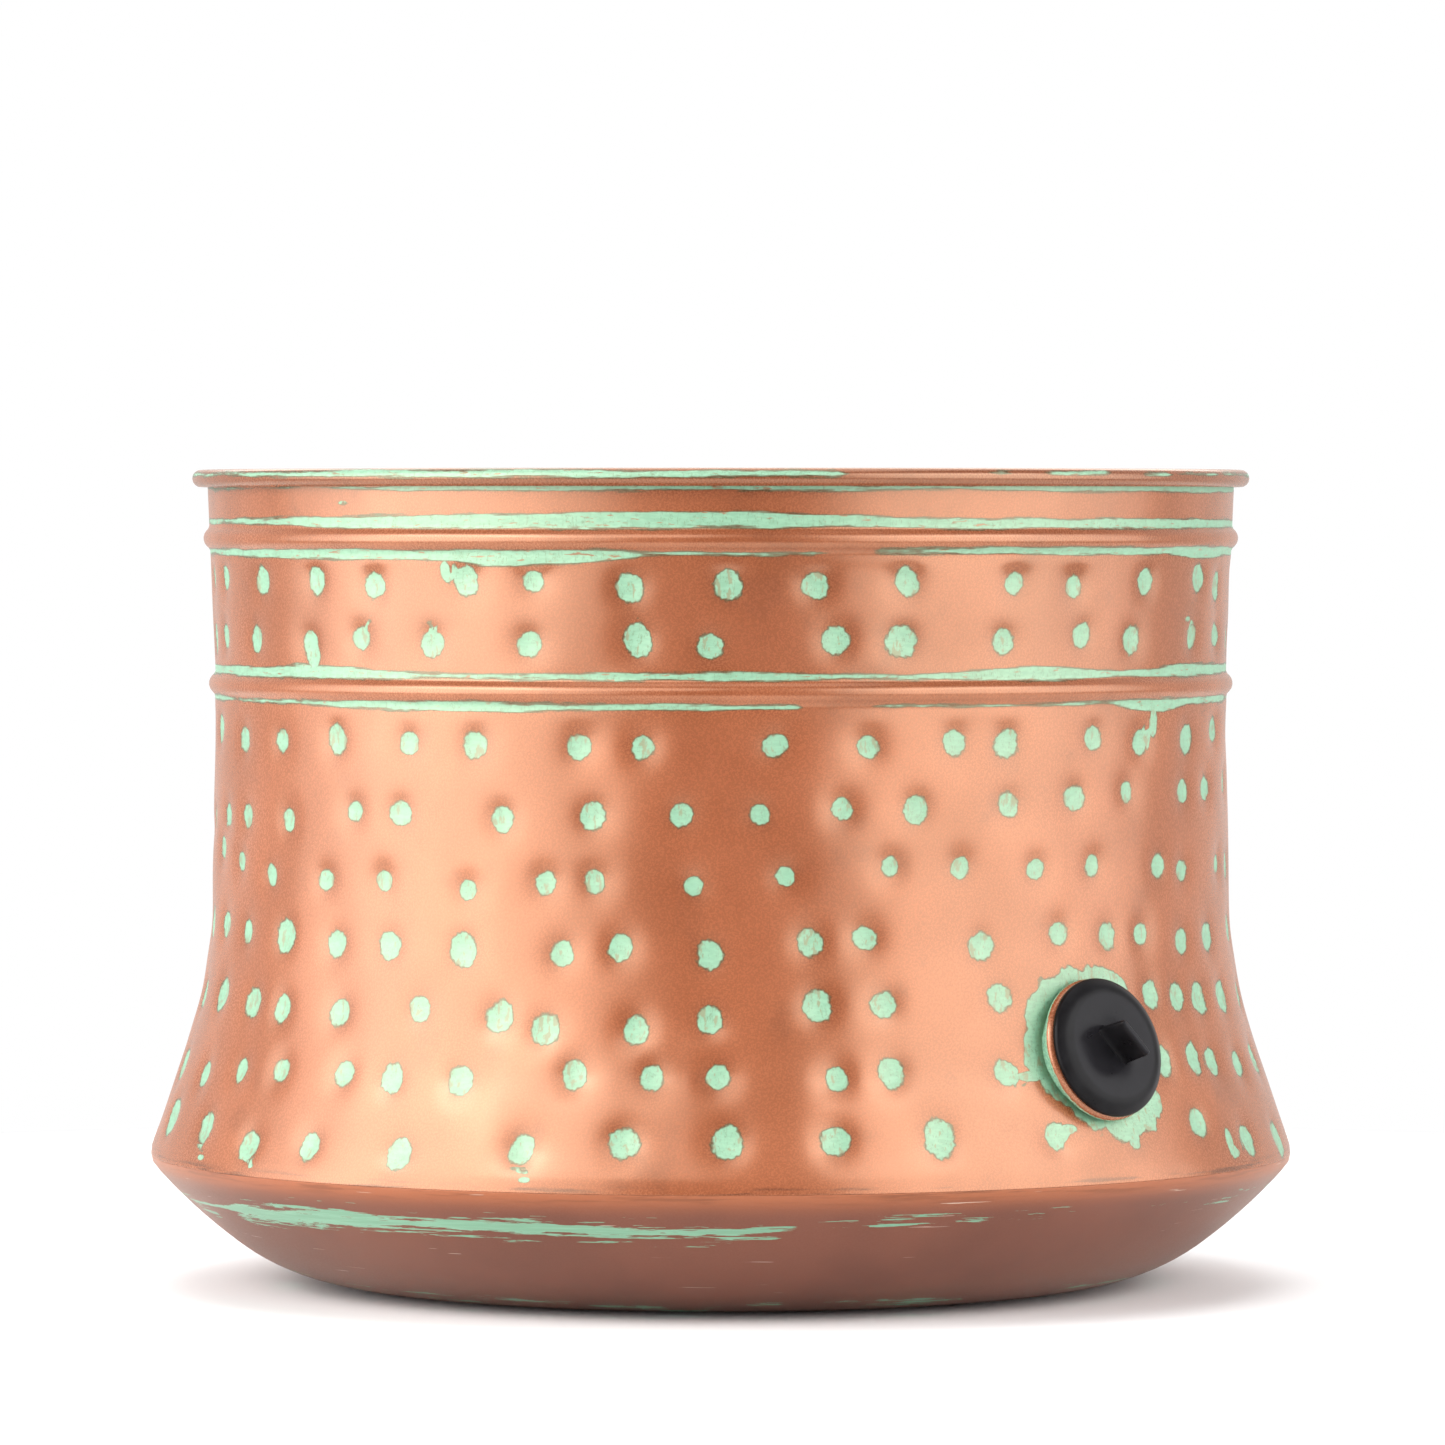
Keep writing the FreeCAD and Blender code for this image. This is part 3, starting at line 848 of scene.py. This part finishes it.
def hammered_look():
    look = Look("hammered_copper", **{"Coat Weight": 0.12, "Coat Roughness": 0.14, "IOR": 1.6,
                                      "Specular IOR Level": 0.88,
                                      "Specular Tint": SPECULAR_TINT})
    grid_edge = look.value("dabs")
    splash = look.ragged(look.value("splash"), (look.noise(11.0, 2.0), 3.4),
                         (look.noise(3.6, 2.0), 0.8))
    dab_edge = look.math("MINIMUM", hammered_dabs(look, grid_edge), splash)
    bands = look.ragged(look.value("bands"),
                        (look.noise(7.0, 4.0, (0.22, 0.22, 3.2), 0.6), 0.95),
                        (look.noise(2.2, 3.0, (0.5, 0.5, 2.0)), 0.22))
    dab_paint = look.step(dab_edge, -0.10, 0.10, 1.0, 0.0)
    band_paint = look.step(bands, -0.10, 0.10, 1.0, 0.0)
    level = look.noise(3.2, 3.0, (0.45, 0.45, 3.0), 0.6)
    band_kept = look.math("MULTIPLY", band_paint, look.step(level, 0.630, 0.660, 1.0, 0.2))
    paint = look.math("MAXIMUM", dab_paint, band_kept)

    grain = look.noise(0.85, 3.0, roughness=0.7)
    colour = look.mix(paint, hammered_copper(look, grain, grid_edge),
                      hammered_green(look, dab_paint))
    edge = look.math("MINIMUM", dab_edge, bands)
    off_edge = look.math("ABSOLUTE", look.math("ADD", edge, -0.05))
    outline = look.step(off_edge, 0.16, 0.50, 0.85, 0.0)
    look.feed("Base Color", look.mix(outline, colour, GREEN_EDGE))
    look.feed_metallic(paint, 0.2)
    rough = look.step(grain, 0.3, 0.7, 0.24, 0.30)
    look.feed("Roughness", look.math("ADD", rough, look.math("MULTIPLY", paint, 0.2)))
    relief = look.math("ADD", look.math("MULTIPLY", grain, 0.17),
                       look.math("MULTIPLY", paint, 0.8))
    look.bump(relief, 0.12, 0.6)
    return look.material


def bowl_look():
    look = Look("spun_copper", **{"Coat Weight": 0.1, "Coat Roughness": 0.3,
                                 "Specular IOR Level": 0.5, "Specular Tint": SPECULAR_TINT})
    brush = look.noise(9.0, 4.0, (0.17, 0.17, 6.0), 0.7)
    broken = look.noise(3.2, 3.0, (0.35, 0.35, 2.6), 0.6)
    edge = look.ragged(look.value("streak"), (brush, 5.6), (broken, 1.3))
    paint = look.step(edge, -0.55, -0.30, 1.0, 0.0)
    grain = look.noise(0.8, 3.0, roughness=0.7)
    # browner copper darkened as painted shade of the underside
    copper = look.mix(look.step(look.noise(55.0, 3.0), 0.35, 0.65), BOWL_SHADED_DEEP, BOWL_SHADED_PALE)
    height = look.height()
    # the painted shade fades to the wall's copper towards the bowl's top
    copper = look.mix(look.step(height, *BOWL_SHADE_TOP, 0.0, 0.9), copper, COPPER)
    copper = look.mix(look.step(grain, 0.3, 0.75, 0.0, 0.12), copper, BOWL_GRAIN)
    copper = look.mix(look.math("MULTIPLY", look.value("inside"), 0.3), copper, COPPER_BROWN)
    wear = look.math("MULTIPLY", look.step(height, *BOWL_WEAR, 0.0, 0.6), look.scuffs())
    copper = look.mix(wear, copper, COPPER_BROWN)
    lines = look.noise(7.0, 2.0, (0.22, 0.22, 9.0), 0.4)
    copper = look.mix(look.step(lines, 0.745, 0.76, 0.0, 0.5), copper, BOWL_SCRATCH)
    green = look.mix(look.step(brush, 0.4, 0.6), GREEN_DEEP, GREEN_LIGHT)
    look.feed("Base Color", look.mix(paint, copper, green))
    look.feed_metallic(paint, 0.2)
    look.feed("Roughness", look.step(grain, 0.3, 0.7, 0.34, 0.42))
    look.bump(look.math("ADD", look.math("MULTIPLY", grain, 0.5), paint), 0.05, 0.5)
    return look.material


def eyelet_look():
    look = Look("eyelet_copper", **{"Coat Weight": 0.3, "Coat Roughness": 0.12, "IOR": 1.6,
                                    "Specular IOR Level": 1.0, "Specular Tint": SPECULAR_TINT})
    fine = look.noise(1.5, 3.0)
    edge = look.ragged(look.value("rise"), (fine, 0.35))
    paint = look.step(edge, *EYELET_NECK, 1.0, 0.0)
    grain = look.noise(0.8, 3.0, roughness=0.7)
    copper = look.mix(look.step(grain, 0.35, 0.7), COPPER_WARM, COPPER)
    # paler green on the neck as painted light against the shade under the lip
    green = look.mix(look.step(fine, 0.4, 0.6), GREEN_LIGHT, GREEN_NECK_PAINTED_LIGHT)
    look.feed("Base Color", look.mix(paint, copper, green))
    look.feed_metallic(paint, 0.3)
    look.feed("Roughness", look.step(grain, 0.3, 0.7, 0.22, 0.30))
    look.bump(grain, 0.02, 0.2)
    return look.material


def rubber_look():
    look = Look("black_rubber", **{"Specular IOR Level": 0.11})
    cloud = look.noise(9.0, 3.0)
    grain = look.noise(0.5, 3.0)
    black = look.mix(look.step(cloud, 0.3, 0.7), RUBBER_DARK, RUBBER_LIGHT)
    # paler grey where the mesh asks for it: dust together with painted sheen and highlight
    dust_and_sheen_share = look.math("MULTIPLY", look.value("dust_and_sheen"), 0.3)
    look.feed("Base Color", look.mix(dust_and_sheen_share, black, RUBBER_DUST_AND_SHEEN))
    look.feed("Roughness", look.step(cloud, 0.3, 0.7, 0.27, 0.35))
    look.bump(grain, 0.04, 0.25)
    return look.material


def steel_look(name, colour):
    look = Look(name, **{"Metallic": 1.0})
    grain = look.noise(1.2, 4.0, (1, 1, 0.3))
    dull = tuple(part * 0.7 for part in colour)
    look.feed("Base Color", look.mix(look.step(grain, 0.35, 0.65), dull, colour))
    look.feed("Roughness", look.step(grain, 0.3, 0.7, 0.34, 0.5))
    look.bump(grain, 0.03, 0.4)
    return look.material


# ---- pieces ---------------------------------------------------------------------------------
add_piece("hammered_wall", wall_mesh(), "pot", "hammered_metal", hammered_look(), "side_wall")
add_piece("spun_bowl", bowl_mesh(), "pot", "bowl_metal", bowl_look(), "base_bowl")
add_piece("port_eyelet", collar_mesh(), "pot", "collar_metal", eyelet_look(), "port_collar")
RUBBER = rubber_look()
add_piece("plug_body", plug_mesh(), "plug", "plug_rubber", RUBBER, "port_plug")
add_piece("plug_pull_tab", tab_mesh(), "plug", "plug_rubber", RUBBER)

for node, slot, colour in (("rim_wire", "wire_steel", WIRE_GREY),
                           ("port_backing_ring", "ring_steel", RING_GREY)):
    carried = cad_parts[node]
    carried.data.materials.clear()
    carried.data.materials.append(steel_look(slot, colour))


# ---- floor, light and camera, in metres -----------------------------------------------------
FLOOR_RADIUS = 0.85
FLOOR_COLOUR = (0.85, 0.85, 0.85, 1.0)
BACKDROP = (0.85, 0.85, 0.85, 1.0)
STUDIO = (0.10, 0.10, 0.105, 1.0)
BACKDROP_EDGE = (-0.1, 0.7)          # how far back a direction points where it fades in
SEEN_WHITE = (1.0, 1.0, 1.0, 1.0)

POT_MIDDLE = 0.17
# nested boxes on each side, whose light fades towards their edges: azimuth, width, radiance
SIDE_BOXES = (("left", ((-64, 3.2, 1.9), (-61, 2.4, 1.1), (-62, 1.7, 1.1), (-64, 1.0, 1.2))),
              ("right", ((64, 3.0, 1.7), (61, 2.2, 1.2), (56, 1.3, 1.0))))
SIDE_DISTANCE = 1.7
SIDE_STEP = 0.03                     # each box hangs this much before the one it lies in
SIDE_HEIGHT = 0.70
SIDE_TALL = 1.6
# name, azimuth, distance, height, width, tall and radiance of the boxes that look down
HIGH_BOXES = (("left_high_box", -62, 1.5, 1.30, 1.0, 0.6, 3.6),
              ("right_high_box", 48, 1.5, 1.30, 1.5, 0.6, 2.3),
              ("front_high_box", -28, 1.5, 1.35, 1.5, 0.8, 3.0),
              ("overhead_soft_box", 180, 0.1, 2.3, 1.8, 1.8, 2.0),
              ("back_soft_box", 180, 2.6, 2.2, 3.0, 2.0, 2.5))

CAMERA_LENS = 211.8
CAMERA_SENSOR = 36.0
CAMERA_PLACE = (0.0, -3.353, 0.305)
CAMERA_DIP = 1.452                   # degrees below level
CAMERA_TURN = -0.0115                # degrees to the left


def add_floor():
    """Pale round floor, as wide as the soft boxes light evenly."""
    mesh = bpy.data.meshes.new("floor")
    work = bmesh.new()
    bmesh.ops.create_circle(work, cap_ends=True, radius=FLOOR_RADIUS, segments=128)
    work.to_mesh(mesh)
    work.free()
    look = Look("pale_floor", **{"Base Color": FLOOR_COLOUR, "Roughness": 0.8})
    mesh.materials.append(look.material)
    floor = bpy.data.objects.new("floor", mesh)
    bpy.context.scene.collection.objects.link(floor)


def add_light(name, azimuth, distance, height, width, tall, radiance, aim=POT_MIDDLE):
    """Soft box on a circle round the pot, turned to the height aim on the pot's axis."""
    data = bpy.data.lights.new(name, "AREA")
    data.shape = "RECTANGLE"
    data.size, data.size_y = width, tall
    data.energy = radiance * math.pi * width * tall
    light = bpy.data.objects.new(name, data)
    angle = math.radians(azimuth)
    light.location = (distance * math.sin(angle), -distance * math.cos(angle), height)
    towards = Vector((0, 0, aim)) - light.location
    light.rotation_euler = towards.to_track_quat("-Z", "Y").to_euler()
    light.visible_camera = False
    bpy.context.scene.collection.objects.link(light)


def add_world():
    """White backdrop behind the pot and a dim studio on its front side, white to the camera."""
    world = bpy.data.worlds.new("studio")
    bpy.context.scene.world = world
    world.use_nodes = True
    tree = world.node_tree
    background = tree.nodes["Background"]

    def mix(share, first, second):
        node = tree.nodes.new("ShaderNodeMix")
        node.data_type = "RGBA"
        tree.links.new(share, node.inputs[0])
        if isinstance(first, bpy.types.NodeSocket):
            tree.links.new(first, node.inputs[6])
        else:
            node.inputs[6].default_value = first
        node.inputs[7].default_value = second
        return node.outputs[2]

    direction = tree.nodes.new("ShaderNodeSeparateXYZ")
    tree.links.new(tree.nodes.new("ShaderNodeTexCoord").outputs["Generated"],
                   direction.inputs[0])
    backwards = tree.nodes.new("ShaderNodeMapRange")
    backwards.interpolation_type = "SMOOTHSTEP"
    backwards.inputs["From Min"].default_value = BACKDROP_EDGE[0]
    backwards.inputs["From Max"].default_value = BACKDROP_EDGE[1]
    tree.links.new(direction.outputs["Y"], backwards.inputs["Value"])
    room = mix(backwards.outputs[0], STUDIO, BACKDROP)
    seen = tree.nodes.new("ShaderNodeLightPath").outputs["Is Camera Ray"]
    tree.links.new(mix(seen, room, SEEN_WHITE), background.inputs["Color"])


def add_camera():
    data = bpy.data.cameras.new("camera")
    data.lens = CAMERA_LENS
    data.sensor_width = CAMERA_SENSOR
    camera = bpy.data.objects.new("camera", data)
    camera.location = CAMERA_PLACE
    camera.rotation_euler = (math.radians(90 - CAMERA_DIP), 0.0, math.radians(CAMERA_TURN))
    bpy.context.scene.collection.objects.link(camera)
    bpy.context.scene.camera = camera


add_floor()
for side, boxes in SIDE_BOXES:
    for number, (azimuth, width, radiance) in enumerate(boxes):
        add_light(side + "_soft_box_" + str(number), azimuth, SIDE_DISTANCE - SIDE_STEP * number,
                  SIDE_HEIGHT, width, SIDE_TALL, radiance, SIDE_HEIGHT)
for high_box in HIGH_BOXES:
    add_light(*high_box)
add_world()
add_camera()
bpy.context.scene.view_settings.view_transform = "Standard"
